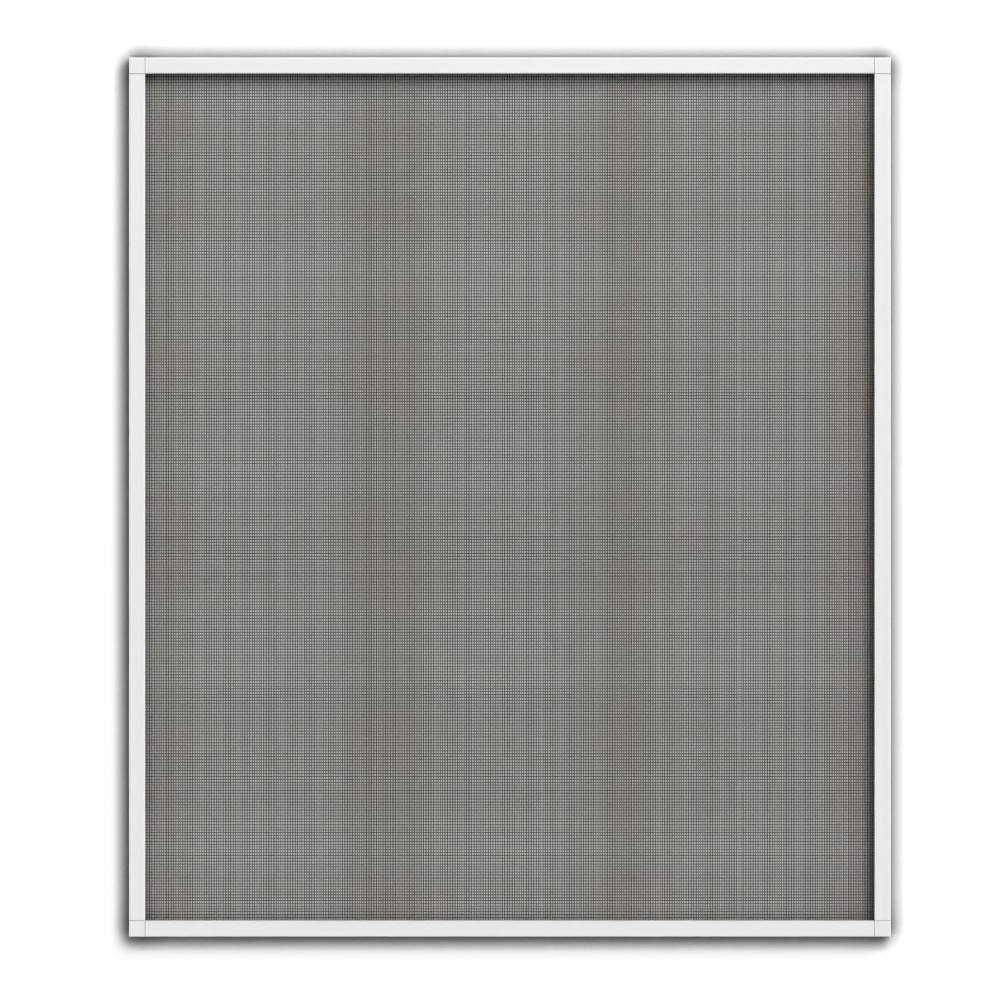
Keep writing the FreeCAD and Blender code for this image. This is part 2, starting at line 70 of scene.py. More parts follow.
# The front face is painted lighter along the folded edges, a painted highlight for light caught on
# their rounding, and greyer along the rails' inner edges, a painted shade; there is grime in the
# joints at the bars' ends.
FOLD_PAINTED_HIGHLIGHT = "#F5F5F5"
PAINTED_HIGHLIGHT_REACH = (0.6, 1.5)
PAINTED_LIGHT_DEPTH = (0.3, 0.9)
INNER_EDGE_PAINTED_SHADE = "#C4C4C2"
PAINTED_SHADE_REACH = (0.5, 1.7)
JOINT_GREY = "#757575"
JOINT_REACH = (0.16, 0.42)
# The level of the front, and along x and z the middle of the frame, half of it and half of its opening.
# The box comes in single precision, so they are rounded to a thousandth of a millimetre.
DIGITS = 3
FRONT_FACE = round(cad_box[0].y / MM, DIGITS)
FRAME_MIDDLE = {axis: round((cad_box[1][axis] + cad_box[0][axis]) / 2 / MM, DIGITS) for axis in (0, 2)}
FRAME_HALF = {axis: round((cad_box[1][axis] - cad_box[0][axis]) / 2 / MM, DIGITS) for axis in (0, 2)}
OPENING_HALF = {axis: round(half - BAR_WIDTH, DIGITS) for axis, half in FRAME_HALF.items()}


def linear(colour):
    """An sRGB hex colour in linear light: a byte's share of 255 over 12.92 where it is small, and
    else that share plus 0.055, over 1.055, to the power 2.4."""
    share = np.array([int(colour[at : at + 2], 16) for at in (1, 3, 5)]) / 255
    light = np.where(share <= 0.04045, share / 12.92, ((share + 0.055) / 1.055) ** 2.4)
    return (*light.tolist(), 1.0)


def add_node(tree, kind, settings=None, values=None, links=None):
    """Adds a node with its own settings, values on its free sockets, and links from other sockets."""
    made = tree.nodes.new(kind)
    for name, setting in (settings or {}).items():
        setattr(made, name, setting)
    for name, value in (values or {}).items():
        made.inputs[name].default_value = value
    for name, source in (links or {}).items():
        tree.links.new(source, made.inputs[name])
    return made


def new_finish(name):
    """A material with its Principled shader, its tree and a node that gives Object coordinates."""
    finish = bpy.data.materials.new(name)
    finish.use_nodes = True
    tree = finish.node_tree
    return finish, tree, tree.nodes["Principled BSDF"], add_node(tree, "ShaderNodeTexCoord")


def line_pair(tree, place, axis, half, reach):
    """One along the two planes that stand a half either side of the frame's middle, falling smoothly to
    zero over the reach. The distance from the nearer plane is ||place - middle| - half|."""
    parts = add_node(tree, "ShaderNodeSeparateXYZ", links={0: place.outputs["Object"]})
    distance = parts.outputs[axis]
    for shift in (FRAME_MIDDLE[axis], half):
        moved = add_node(
            tree,
            "ShaderNodeMath",
            settings={"operation": "SUBTRACT"},
            values={1: shift * MM},
            links={0: distance},
        )
        distance = add_node(
            tree, "ShaderNodeMath", settings={"operation": "ABSOLUTE"}, links={0: moved.outputs["Value"]}
        ).outputs["Value"]
    shown = add_node(
        tree,
        "ShaderNodeMapRange",
        settings={"interpolation_type": "SMOOTHSTEP"},
        values={"From Min": reach[0] * MM, "From Max": reach[1] * MM, "To Min": 1.0, "To Max": 0.0},
        links={"Value": distance},
    )
    return shown.outputs["Result"]


def edged(tree, place, tone, highlight_lines, shade_lines, joints):
    """The tone with a painted highlight along some edges and painted shade along others, both on the
    front face, and grimy joints. Each of the three is a list of axes and halves, as line_pair takes
    them."""
    parts = add_node(tree, "ShaderNodeSeparateXYZ", links={0: place.outputs["Object"]})
    front = add_node(
        tree,
        "ShaderNodeMapRange",
        values={
            "From Min": (FRONT_FACE + PAINTED_LIGHT_DEPTH[0]) * MM,
            "From Max": (FRONT_FACE + PAINTED_LIGHT_DEPTH[1]) * MM,
            "To Min": 1.0,
            "To Max": 0.0,
        },
        links={"Value": parts.outputs["Y"]},
    )
    # In turn: the painted highlight and the painted shade, both only on the front face, then the grimy
    # joints.
    for lines, colour, reach in (
        (highlight_lines, FOLD_PAINTED_HIGHLIGHT, PAINTED_HIGHLIGHT_REACH),
        (shade_lines, INNER_EDGE_PAINTED_SHADE, PAINTED_SHADE_REACH),
        (joints, JOINT_GREY, JOINT_REACH),
    ):
        if not lines:
            continue
        mask, *others = [line_pair(tree, place, axis, half, reach) for axis, half in lines]
        for other in others:
            mask = add_node(
                tree, "ShaderNodeMath", settings={"operation": "MAXIMUM"}, links={0: mask, 1: other}
            ).outputs["Value"]
        if lines is not joints:
            mask = add_node(
                tree,
                "ShaderNodeMath",
                settings={"operation": "MULTIPLY"},
                links={0: mask, 1: front.outputs["Result"]},
            ).outputs["Value"]
        tone = add_node(
            tree,
            "ShaderNodeMix",
            settings={"data_type": "RGBA"},
            values={"B": linear(colour)},
            links={"Factor": mask, "A": tone},
        ).outputs["Result"]
    return tone


def baked_enamel(name, along):
    """White baked enamel on formed strip. along is the bar's own axis, 0 for x and 2 for z, so that
    the roll lines run the length of the bar and close up across it."""
    finish, tree, shader, place = new_finish(name)
    aside = 2 - along
    stretch = [1 / (ROLL_LINE_SPACING * MM)] * 3
    stretch[along] = 1 / (ROLL_LINE_LENGTH * MM)
    lengthwise = add_node(
        tree, "ShaderNodeMapping", values={"Scale": stretch}, links={"Vector": place.outputs["Object"]}
    )
    roll_lines = add_node(
        tree,
        "ShaderNodeTexNoise",
        values={"Scale": 1.0, "Detail": 2.0, "Roughness": 0.5},
        links={"Vector": lengthwise.outputs["Vector"]},
    )
    orange_peel = add_node(
        tree,
        "ShaderNodeTexNoise",
        values={"Scale": 1 / (ORANGE_PEEL_SIZE * MM), "Detail": 1.0},
        links={"Vector": place.outputs["Object"]},
    )
    cloud = add_node(
        tree,
        "ShaderNodeTexNoise",
        values={"Scale": 1 / (COAT_CLOUD_SIZE * MM), "Detail": 3.0},
        links={"Vector": place.outputs["Object"]},
    )
    tone = add_node(
        tree,
        "ShaderNodeMix",
        settings={"data_type": "RGBA"},
        values={"A": linear(ENAMEL_SHADE), "B": linear(ENAMEL_WHITE)},
        links={"Factor": cloud.outputs["Fac"]},
    )
    sheen = add_node(
        tree,
        "ShaderNodeMapRange",
        values={"To Min": ENAMEL_ROUGHNESS[0], "To Max": ENAMEL_ROUGHNESS[1]},
        links={"Value": roll_lines.outputs["Fac"]},
    )
    rolled = add_node(
        tree,
        "ShaderNodeBump",
        values={"Strength": 1.0, "Distance": ROLL_LINE_HEIGHT * MM},
        links={"Height": roll_lines.outputs["Fac"]},
    )
    peeled = add_node(
        tree,
        "ShaderNodeBump",
        values={"Strength": 1.0, "Distance": ORANGE_PEEL_HEIGHT * MM},
        links={"Height": orange_peel.outputs["Fac"], "Normal": rolled.outputs["Normal"]},
    )
    outer = (aside, FRAME_HALF[aside])
    inner = (aside, OPENING_HALF[aside])
    # Painted highlight along the rails' outer edges and along both edges of the stiles.
    # Painted shade along the rails' inner edges.
    highlight_lines, shade_lines = ([outer], [inner]) if aside == 2 else ([outer, inner], [])
    shown = edged(tree, place, tone.outputs["Result"], highlight_lines, shade_lines, [(along, OPENING_HALF[along])])
    tree.links.new(shown, shader.inputs["Base Color"])
    tree.links.new(sheen.outputs["Result"], shader.inputs["Roughness"])
    tree.links.new(peeled.outputs["Normal"], shader.inputs["Normal"])
    shader.inputs["IOR"].default_value = ENAMEL_IOR
    return finish


rail_enamel = baked_enamel("white_baked_enamel_on_rails", 0)
stile_enamel = baked_enamel("white_baked_enamel_on_stiles", 2)
for bar, enamel in (
    ("top_rail", rail_enamel),
    ("bottom_rail", rail_enamel),
    ("left_stile", stile_enamel),
    ("right_stile", stile_enamel),
):
    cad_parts[bar].data.materials[0] = enamel

# The four corner keys are injection-moulded white plastic. The square head fills the corner between
# the cut ends of two bars, and its legs are pushed into them. The mould leaves a fine, even grain,
# so the plastic looks a little duller than the enamel beside it.
KEY_WHITE = "#E6E6E6"
KEY_SHADE = "#E2E2E2"
KEY_ROUGHNESS = 0.46
KEY_IOR = 1.49
MOULD_GRAIN_SIZE = 0.7
MOULD_GRAIN_HEIGHT = 0.02
KEY_FLOW_SIZE = 14.0

key_plastic, key_tree, key_shader, key_place = new_finish("white_moulded_plastic")
mould_grain = add_node(
    key_tree,
    "ShaderNodeTexNoise",
    values={"Scale": 1 / (MOULD_GRAIN_SIZE * MM), "Detail": 2.0, "Roughness": 0.6},
    links={"Vector": key_place.outputs["Object"]},
)
flow = add_node(
    key_tree,
    "ShaderNodeTexNoise",
    values={"Scale": 1 / (KEY_FLOW_SIZE * MM), "Detail": 2.0, "Distortion": 0.6},
    links={"Vector": key_place.outputs["Object"]},
)
key_tone = add_node(
    key_tree,
    "ShaderNodeMix",
    settings={"data_type": "RGBA"},
    values={"A": linear(KEY_SHADE), "B": linear(KEY_WHITE)},
    links={"Factor": flow.outputs["Fac"]},
)
grained = add_node(
    key_tree,
    "ShaderNodeBump",
    values={"Strength": 1.0, "Distance": MOULD_GRAIN_HEIGHT * MM},
    links={"Height": mould_grain.outputs["Fac"]},
)
# The keys' outer edges get the same painted highlight as the bars' edges, and their joints are grimy.
key_highlight_lines = list(FRAME_HALF.items())
key_joints = list(OPENING_HALF.items())
key_shown = edged(key_tree, key_place, key_tone.outputs["Result"], key_highlight_lines, [], key_joints)
key_tree.links.new(key_shown, key_shader.inputs["Base Color"])
key_tree.links.new(grained.outputs["Normal"], key_shader.inputs["Normal"])
key_shader.inputs["Roughness"].default_value = KEY_ROUGHNESS
key_shader.inputs["IOR"].default_value = KEY_IOR
for corner in ("top_left", "top_right", "bottom_left", "bottom_right"):
    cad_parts["corner_key_" + corner].data.materials[0] = key_plastic

# The insect cloth is glass-fibre yarn coated with grey vinyl, woven and fused where threads cross.
# It lies on the lips of the bars, and its edge is folded down into the groove under the spline.
# The threads are drawn about twice as coarse as the real mesh, as wide as the photo shows them.
WARP_PITCH = 2.833
WEFT_PITCH = 3.350
# A thread's width is a share of the spacing where it lies.
WARP_SHARE = 0.385
WEFT_SHARE = 0.31
THREAD_THICKNESS = 0.4
THREAD_SIDES = 6
OUTERMOST_ON_LIP = 1.8
# The reed and the take-up leave marks: between groups of dark threads that stand well apart lie a few
# that are finer, paler and closer, as in the photo. The beat is the marks' strength, below one.
REED_PERIOD = 23.74
WARP_BEAT = 0.6
WEFT_BEAT = 0.5
PALER_AT_MARK = 1.2
FINE_STEPS = 20001
# Slow bands of the cloth: the warp is broader and warmer in them, and the weft finer and cooler.
WARP_BAND_PERIOD = 285.0
WARP_BAND_MIDDLE = 142.5
WARP_BAND_SHARPNESS = 3
WARP_BAND_WIDTH = 0.12
WEFT_BAND_PERIOD = 229.0
WEFT_BAND_MIDDLE = 40.0
WEFT_BAND_SHARPNESS = 2
WEFT_BAND_WIDTH = -0.11
# How far each thread strays from its place in millimetres, and from its width and tone as a share.
PLACE_SCATTER = 0.07
WIDTH_SCATTER = 0.05
TONE_SCATTER = 0.10
# How far outside the opening's edge the tucked end of a thread is, and its level in the frame's depth.
TUCK_OUT = np.array([0.4, 2.5, 2.8, 2.8, 6.5, 6.5])
TUCK_LEVEL_WARP = np.array([4.75, 4.75, 4.45, 0.56, 0.56, 4.3])
TUCK_LEVEL_WEFT = np.array([5.12, 4.80, 4.45, 0.56, 0.56, 4.3])
# The gap that a tube's row keeps from its neighbours on the map, as a share of the row.
ROW_MARGIN = 0.15
WEAVE_SEED = 18
weave_chance = np.random.default_rng(WEAVE_SEED)


def slow_band(places, period, middle, sharpness):
    """One at the middle of each band and zero between: half of one plus a cosine, to a power."""
    return ((1 + np.cos(2 * np.pi * (places - middle) / period)) / 2) ** sharpness


def thread_places(pitch, half_span, beat):
    """Places of parallel threads. The count of threads up to a place is the place over the pitch less
    the angle, in turns, of one plus a beat that goes round once in the marks' period. Whole counts give
    the places. With them come the spacing there, one over the count's slope, and how near a mark is,
    one less that sum's share of its longest."""
    fine = np.linspace(-half_span, half_span, FINE_STEPS)
    count = fine / pitch - np.angle(1 + beat * np.exp(2j * np.pi * fine / REED_PERIOD)) / (2 * np.pi)
    places = np.interp(np.arange(np.ceil(count[0]), np.floor(count[-1]) + 1), count, fine)
    turn = 1 + beat * np.exp(2j * np.pi * places / REED_PERIOD)
    spacing = 1 / (1 / pitch - np.real((turn - 1) / turn) / REED_PERIOD)
    mark = 1 - np.abs(turn) / (1 + beat)
    return places + weave_chance.normal(0, PLACE_SCATTER, len(places)), spacing, mark


def tucked_run(half_length, level):
    """The run of a thread from one tucked end to the other: its places along, and its levels."""
    along = np.concatenate([-(half_length + TUCK_OUT[::-1]), half_length + TUCK_OUT])
    return along, np.concatenate([level[::-1], level])


def ribbon_rings(path, side, half_width, half_thickness):
    """Rings of a flattened round thread. Each ring is an ellipse across the path: its width lies along
    side, its thickness along the path's direction crossed with side, longer where the path bends."""
    step = np.diff(path, axis=1)
    step /= np.linalg.norm(step, axis=2, keepdims=True)
    ahead = np.concatenate([step[:, :1], step[:, :-1] + step[:, 1:], step[:, -1:]], axis=1)
    length = np.linalg.norm(ahead, axis=2, keepdims=True)
    bend = length / 2
    bend[:, [0, -1]] = 1
    through = np.cross(ahead / length, side) / bend
    turn = 2 * np.pi * np.arange(THREAD_SIDES) / THREAD_SIDES
    wide = np.cos(turn)[:, None] * half_width[:, None, None, None] * side
    thick = np.sin(turn)[:, None] * half_thickness * through[:, :, None, :]
    return path[:, :, None, :] + wide + thick


def tube_mesh(name, rings):
    """A mesh of closed tubes. Each point of a ring is joined to the next one round it and to the same
    point of the next ring, and one flat face closes each end. The map gives each tube a row: across is
    the share of its length, and up is the share of the way round it."""
    tubes, count, sides, _ = rings.shape
    number = np.arange(tubes * count * sides).reshape(tubes, count, sides)
    here, there = number[:, :-1], number[:, 1:]
    walls = np.stack([here, np.roll(here, -1, 2), np.roll(there, -1, 2), there], axis=-1).reshape(-1, 4)
    ends = np.concatenate([number[:, 0, ::-1], number[:, -1]])
    mesh = bpy.data.meshes.new(name)
    mesh.from_pydata((rings.reshape(-1, 3) * MM).tolist(), [], walls.tolist() + ends.tolist())
    mesh.polygons.foreach_set("use_smooth", np.arange(len(mesh.polygons)) < len(walls))
    steps = np.linalg.norm(np.diff(rings.mean(axis=2), axis=1), axis=2)
    gone = np.concatenate([np.zeros((tubes, 1)), np.cumsum(steps, axis=1)], axis=1)
    gone /= steps.sum(axis=1)[:, None]
    row = (np.arange(tubes)[:, None] + np.linspace(ROW_MARGIN, 1 - ROW_MARGIN, sides + 1)) / tubes
    wall_across = np.stack([gone[:, :-1], gone[:, :-1], gone[:, 1:], gone[:, 1:]], axis=-1)[:, :, None]
    wall_up = np.stack([row[:, :-1], row[:, 1:], row[:, 1:], row[:, :-1]], axis=-1)[:, None]
    wall_map = np.stack(np.broadcast_arrays(wall_across, wall_up), axis=-1).reshape(-1, 2)
    end_across = np.repeat([0.0, 1.0], tubes * sides)
    end_up = np.tile(np.repeat(row.mean(axis=1), sides), 2)
    end_map = np.stack([end_across, end_up], axis=-1)
    tube_map = mesh.uv_layers.new(name="OFBake")
    tube_map.data.foreach_set("uv", np.concatenate([wall_map, end_map]).ravel())
    piece = bpy.data.objects.new(name, mesh)
    bpy.context.scene.collection.objects.link(piece)
    return piece


warp_span = OPENING_HALF[0] + OUTERMOST_ON_LIP
weft_span = OPENING_HALF[2] + OUTERMOST_ON_LIP
warp_at, warp_spacing, warp_mark = thread_places(WARP_PITCH, warp_span, WARP_BEAT)
weft_at, weft_spacing, weft_mark = thread_places(WEFT_PITCH, weft_span, WEFT_BEAT)
warp_band = slow_band(warp_at, WARP_BAND_PERIOD, WARP_BAND_MIDDLE, WARP_BAND_SHARPNESS)
weft_band = slow_band(weft_at, WEFT_BAND_PERIOD, WEFT_BAND_MIDDLE, WEFT_BAND_SHARPNESS)
warp_width = WARP_SHARE * warp_spacing * (1 + WARP_BAND_WIDTH * warp_band)
weft_width = WEFT_SHARE * weft_spacing * (1 + WEFT_BAND_WIDTH * weft_band)
warp_width *= weave_chance.normal(1, WIDTH_SCATTER, len(warp_at))
weft_width *= weave_chance.normal(1, WIDTH_SCATTER, len(weft_at))

up, warp_depth = tucked_run(OPENING_HALF[2], TUCK_LEVEL_WARP)
across, weft_depth = tucked_run(OPENING_HALF[0], TUCK_LEVEL_WEFT)
warp_path = np.empty((len(warp_at), len(up), 3))
warp_path[..., 0] = warp_at[:, None]
warp_path[..., 1] = warp_depth
warp_path[..., 2] = FRAME_MIDDLE[2] + up
weft_path = np.empty((len(weft_at), len(across), 3))
weft_path[..., 0] = across
weft_path[..., 1] = weft_depth
weft_path[..., 2] = FRAME_MIDDLE[2] + weft_at[:, None]
warp_rings = ribbon_rings(warp_path, np.array([1.0, 0, 0]), warp_width / 2, THREAD_THICKNESS / 2)
weft_rings = ribbon_rings(weft_path, np.array([0, 0, 1.0]), weft_width / 2, THREAD_THICKNESS / 2)
cloth = tube_mesh("woven_insect_cloth", np.concatenate([warp_rings, weft_rings]))

# Each thread carries its tone, about one, and its warmth, from zero where it is cool to one where warm.
marks = np.concatenate([warp_mark, weft_mark])
thread_tone = weave_chance.normal(1, TONE_SCATTER, len(marks)) + PALER_AT_MARK * marks
warmth = 0.5 + np.concatenate([warp_band, -weft_band]) / 2
for attribute, per_thread in (("thread_tone", thread_tone), ("warmth", warmth)):
    layer = cloth.data.attributes.new(attribute, "FLOAT", "POINT")
    layer.data.foreach_set("value", np.repeat(per_thread, len(up) * THREAD_SIDES).astype(np.float32))

# Plasticised vinyl over glass yarn is dull, so the threads look dark grey and nearly matt, with no two
# quite alike.
VINYL_WARM = "#494440"
VINYL_COOL = "#434343"
VINYL_ROUGHNESS = 0.7
VINYL_SPECULAR = 0.2
VINYL_IOR = 1.53
coated_yarn, yarn_tree, yarn_shader, _ = new_finish("grey_vinyl_coated_glass_yarn")
tone_of_thread = add_node(yarn_tree, "ShaderNodeAttribute", settings={"attribute_name": "thread_tone"})
warmth_of_thread = add_node(yarn_tree, "ShaderNodeAttribute", settings={"attribute_name": "warmth"})
yarn_tint = add_node(
    yarn_tree,
    "ShaderNodeMix",
    settings={"data_type": "RGBA"},
    values={"A": linear(VINYL_COOL), "B": linear(VINYL_WARM)},
    links={"Factor": warmth_of_thread.outputs["Fac"]},
)
yarn_tone = add_node(
    yarn_tree,
    "ShaderNodeVectorMath",
    settings={"operation": "SCALE"},
    links={"Vector": yarn_tint.outputs["Result"], "Scale": tone_of_thread.outputs["Fac"]},
)
yarn_tree.links.new(yarn_tone.outputs["Vector"], yarn_shader.inputs["Base Color"])
yarn_shader.inputs["Roughness"].default_value = VINYL_ROUGHNESS
yarn_shader.inputs["IOR"].default_value = VINYL_IOR
yarn_shader.inputs["Specular IOR Level"].default_value = VINYL_SPECULAR
cloth.data.materials.append(coated_yarn)
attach(cloth, "root")
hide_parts("insect_screen")

# The spline is a cord of soft black vinyl with fine ribs round it, rolled into the groove at the back
# over the edge of the cloth. It goes once round the frame, and its two ends meet on the bottom rail.
SPLINE_OUT = 4.65
SPLINE_HALF_WIDTH = OPENING_HALF[0] + SPLINE_OUT
SPLINE_HALF_HEIGHT = OPENING_HALF[2] + SPLINE_OUT
SPLINE_TURN = 3.35
SPLINE_LEVEL = 2.4
SPLINE_RADIUS = 1.58
SPLINE_JOINT = -368.1
SPLINE_END_GAP = 1.0
RIB_PITCH = 2.4
RIB_DEPTH = 0.14
SPLINE_SIDES = 10


def rounded_rectangle(distance):
    """Places and directions on the spline's route, by distance from the joint on the bottom run. Each
    straight side is followed by a quarter circle, and both are picked out by the distance alone."""
    right, top = SPLINE_HALF_WIDTH, SPLINE_HALF_HEIGHT
    wide, high = right - SPLINE_TURN, top - SPLINE_TURN
    quarter = SPLINE_TURN * np.pi / 2
    lengths = [wide - SPLINE_JOINT, quarter, 2 * high, quarter, 2 * wide, quarter, 2 * high, quarter]
    starts = np.concatenate([[0], np.cumsum(lengths)])
    which = np.clip(np.searchsorted(starts, distance, side="right") - 1, 0, len(lengths))
    gone = distance - starts[which]
    heading = which // 2 * np.pi / 2
    turned = np.where(which % 2 == 1, gone / SPLINE_TURN, 0)
    first_x = np.array([SPLINE_JOINT, wide, right, right, wide, -wide, -right, -right, -wide])[which]
    first_z = np.array([-top, -top, -high, high, top, top, high, -high, -top])[which]
    straight = np.where(which % 2 == 1, SPLINE_TURN * np.sin(turned), gone)
    aside = SPLINE_TURN * (1 - np.cos(turned))
    x = first_x + straight * np.cos(heading) - aside * np.sin(heading)
    z = first_z + straight * np.sin(heading) + aside * np.cos(heading)
    return x, z, heading + turned


route_length = 4 * (SPLINE_HALF_WIDTH + SPLINE_HALF_HEIGHT - 2 * SPLINE_TURN) + 2 * np.pi * SPLINE_TURN
ring_count = 2 * int((route_length - SPLINE_END_GAP) / RIB_PITCH)
along_route = np.linspace(SPLINE_END_GAP / 2, route_length - SPLINE_END_GAP / 2, ring_count)
spline_x, spline_z, spline_heading = rounded_rectangle(along_route)
rib = SPLINE_RADIUS - RIB_DEPTH * (np.arange(ring_count) % 2)
round_it = 2 * np.pi * np.arange(SPLINE_SIDES) / SPLINE_SIDES
inward = np.stack([-np.sin(spline_heading), np.zeros(ring_count), np.cos(spline_heading)], axis=-1)
backward = np.array([0, 1.0, 0])
spline_depth = np.full(ring_count, SPLINE_LEVEL)
spline_middle = np.stack([spline_x, spline_depth, FRAME_MIDDLE[2] + spline_z], axis=-1)
spline_rings = spline_middle[:, None] + rib[:, None, None] * (
    np.cos(round_it)[:, None] * inward[:, None] + np.sin(round_it)[:, None] * backward
)
spline = tube_mesh("ribbed_vinyl_spline", spline_rings[None])

# Soft extruded vinyl is black with a low sheen, and looks greyer in patches where a bloom has come out.
SPLINE_BLACK = "#2B2B2C"
SPLINE_WORN = "#3A3A3A"
SPLINE_ROUGHNESS = 0.5
SPLINE_BLOOM_SIZE = 30.0
soft_vinyl, vinyl_tree, vinyl_shader, vinyl_place = new_finish("soft_black_vinyl")
bloom = add_node(
    vinyl_tree,
    "ShaderNodeTexNoise",
    values={"Scale": 1 / (SPLINE_BLOOM_SIZE * MM), "Detail": 4.0},
    links={"Vector": vinyl_place.outputs["Object"]},
)
vinyl_tone = add_node(
    vinyl_tree,
    "ShaderNodeMix",
    settings={"data_type": "RGBA"},
    values={"A": linear(SPLINE_BLACK), "B": linear(SPLINE_WORN)},
    links={"Factor": bloom.outputs["Fac"]},
)
vinyl_tree.links.new(vinyl_tone.outputs["Result"], vinyl_shader.inputs["Base Color"])
vinyl_shader.inputs["Roughness"].default_value = SPLINE_ROUGHNESS
spline.data.materials.append(soft_vinyl)
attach(spline, "root")
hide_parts("screen_spline")

# The stage is a white wall close behind the screen, which takes its shadow, a white board on the wall
# behind the cloth, and a pale floor below. Wall and board show only from their front, so that the back
# of the screen can be looked at.
WALL_BEHIND = 12.0
WALL_HALF_WIDTH = 3000.0
WALL_FOOT = -110.0
WALL_HEAD = 4000.0
WALL_GLOW = 0.06
BOARD_BEHIND = 11.9
BOARD_PAST_OPENING = 10.0
BOARD_WHITE = "#FFFDFB"
BOARD_GLOW = 0.02
FLOOR_LEVEL = -145.0
FLOOR_HALF = 6000.0
FLOOR_PALE = "#F2F2F0"
FLOOR_BOUNCE = "#8A8A88"
FLOOR_ROUGHNESS = 0.9
# The paints carry painted shade where little is open to them within a reach: the board's goes from
# white to black between two open shares, and the wall's is a power of the share, a painted shadow round
# the frame that is deeper beside the frame's corners.
CONTACT_REACH = 22.0
BOARD_OPEN = (0.17, 0.44)
BOARD_RAYS = 16
WALL_RAYS = 8
CONTACT_POWER = 2.2
CORNER_REACH = (6.0, 50.0)
CORNER_POWER = 3.0
# A light path has fewer bounces than this until its first one.
HALF_A_BOUNCE = 0.5


def flat_square(name, corners):
    """One four-sided face of the stage, from its corners in millimetres, in turn round it."""
    mesh = bpy.data.meshes.new(name)
    mesh.from_pydata((np.array(corners) * MM).tolist(), [], [(0, 1, 2, 3)])
    made = bpy.data.objects.new(name, mesh)
    bpy.context.scene.collection.objects.link(made)
    return made


def upright(name, half_width, behind, foot, head):
    """A flat face across the picture, which looks to the front."""
    left, right = -half_width, half_width
    return flat_square(
        name, [(left, behind, foot), (right, behind, foot), (right, behind, head), (left, behind, head)]
    )


def in_sight(tree):
    """One for a ray from the camera, or one that a glossy or clear surface sends on, and else zero."""
    path = add_node(tree, "ShaderNodeLightPath")
    level = path.outputs["Is Camera Ray"]
    for kind in ("Is Glossy Ray", "Is Transmission Ray"):
        level = add_node(
            tree,
            "ShaderNodeMath",
            settings={"operation": "MAXIMUM"},
            links={0: level, 1: path.outputs[kind]},
        ).outputs["Value"]
    return level


def shaded_paint(name, rays):
    """A paint whose tree holds one node, for the share that is open to it within the contact reach."""
    paint = bpy.data.materials.new(name)
    paint.use_nodes = True
    tree = paint.node_tree
    tree.nodes.clear()
    contact = add_node(
        tree,
        "ShaderNodeAmbientOcclusion",
        settings={"samples": rays},
        values={"Distance": CONTACT_REACH * MM},
    )
    return paint, tree, contact.outputs["AO"]


def seen_white(tree, shade, glow):
    """Matt paint of a shade, with a little light of its own that is only seen and lights nothing, so
    that the backdrop looks white without more light on the screen."""
    paint = add_node(tree, "ShaderNodeBsdfDiffuse", links={"Color": shade})
    strength = add_node(
        tree,
        "ShaderNodeMath",
        settings={"operation": "MULTIPLY"},
        values={1: glow},
        links={0: in_sight(tree)},
    )
    own = add_node(
        tree, "ShaderNodeEmission", links={"Color": shade, "Strength": strength.outputs["Value"]}
    )
    both = add_node(
        tree, "ShaderNodeAddShader", links={0: paint.outputs["BSDF"], 1: own.outputs["Emission"]}
    )
    return both.outputs["Shader"]


def one_sided(tree, lit):
    """Ends a stage material: it is clear from behind, and to a light ray that goes straight from a
    surface in view, so that the back of the screen is seen and lit through it."""
    clear = add_node(tree, "ShaderNodeBsdfTransparent")
    face = add_node(tree, "ShaderNodeNewGeometry")
    path = add_node(tree, "ShaderNodeLightPath")
    in_view = add_node(
        tree,
        "ShaderNodeMath",
        settings={"operation": "LESS_THAN"},
        values={1: HALF_A_BOUNCE},
        links={0: path.outputs["Diffuse Depth"]},
    )
    direct = add_node(
        tree,
        "ShaderNodeMath",
        settings={"operation": "MULTIPLY"},
        links={0: path.outputs["Is Shadow Ray"], 1: in_view.outputs["Value"]},
    )
    share = add_node(
        tree,
        "ShaderNodeMath",
        settings={"operation": "MAXIMUM"},
        links={0: face.outputs["Backfacing"], 1: direct.outputs["Value"]},
    )
    shown = add_node(
        tree, "ShaderNodeMixShader", links={0: share.outputs["Value"], 1: lit, 2: clear.outputs["BSDF"]}
    )
    add_node(tree, "ShaderNodeOutputMaterial", links={"Surface": shown.outputs["Shader"]})


wall = upright("white_wall", WALL_HALF_WIDTH, WALL_BEHIND, WALL_FOOT, WALL_HEAD)
wall_paint, wall_tree, wall_open = shaded_paint("white_wall_paint", WALL_RAYS)
wall_place = add_node(wall_tree, "ShaderNodeTexCoord")
beside_corner = add_node(
    wall_tree,
    "ShaderNodeMath",
    settings={"operation": "MULTIPLY"},
    links={
        0: line_pair(wall_tree, wall_place, 0, FRAME_HALF[0], CORNER_REACH),
        1: line_pair(wall_tree, wall_place, 2, FRAME_HALF[2], CORNER_REACH),
    },
)
contact_power = add_node(
    wall_tree,
    "ShaderNodeMapRange",
    values={"To Min": CONTACT_POWER, "To Max": CORNER_POWER},
    links={"Value": beside_corner.outputs["Value"]},
)
# Painted shadow on the wall round the frame, deeper beside its corners.
wall_shade = add_node(
    wall_tree,
    "ShaderNodeMath",
    settings={"operation": "POWER"},
    links={0: wall_open, 1: contact_power.outputs["Result"]},
)
one_sided(wall_tree, seen_white(wall_tree, wall_shade.outputs["Value"], WALL_GLOW))
wall.data.materials.append(wall_paint)

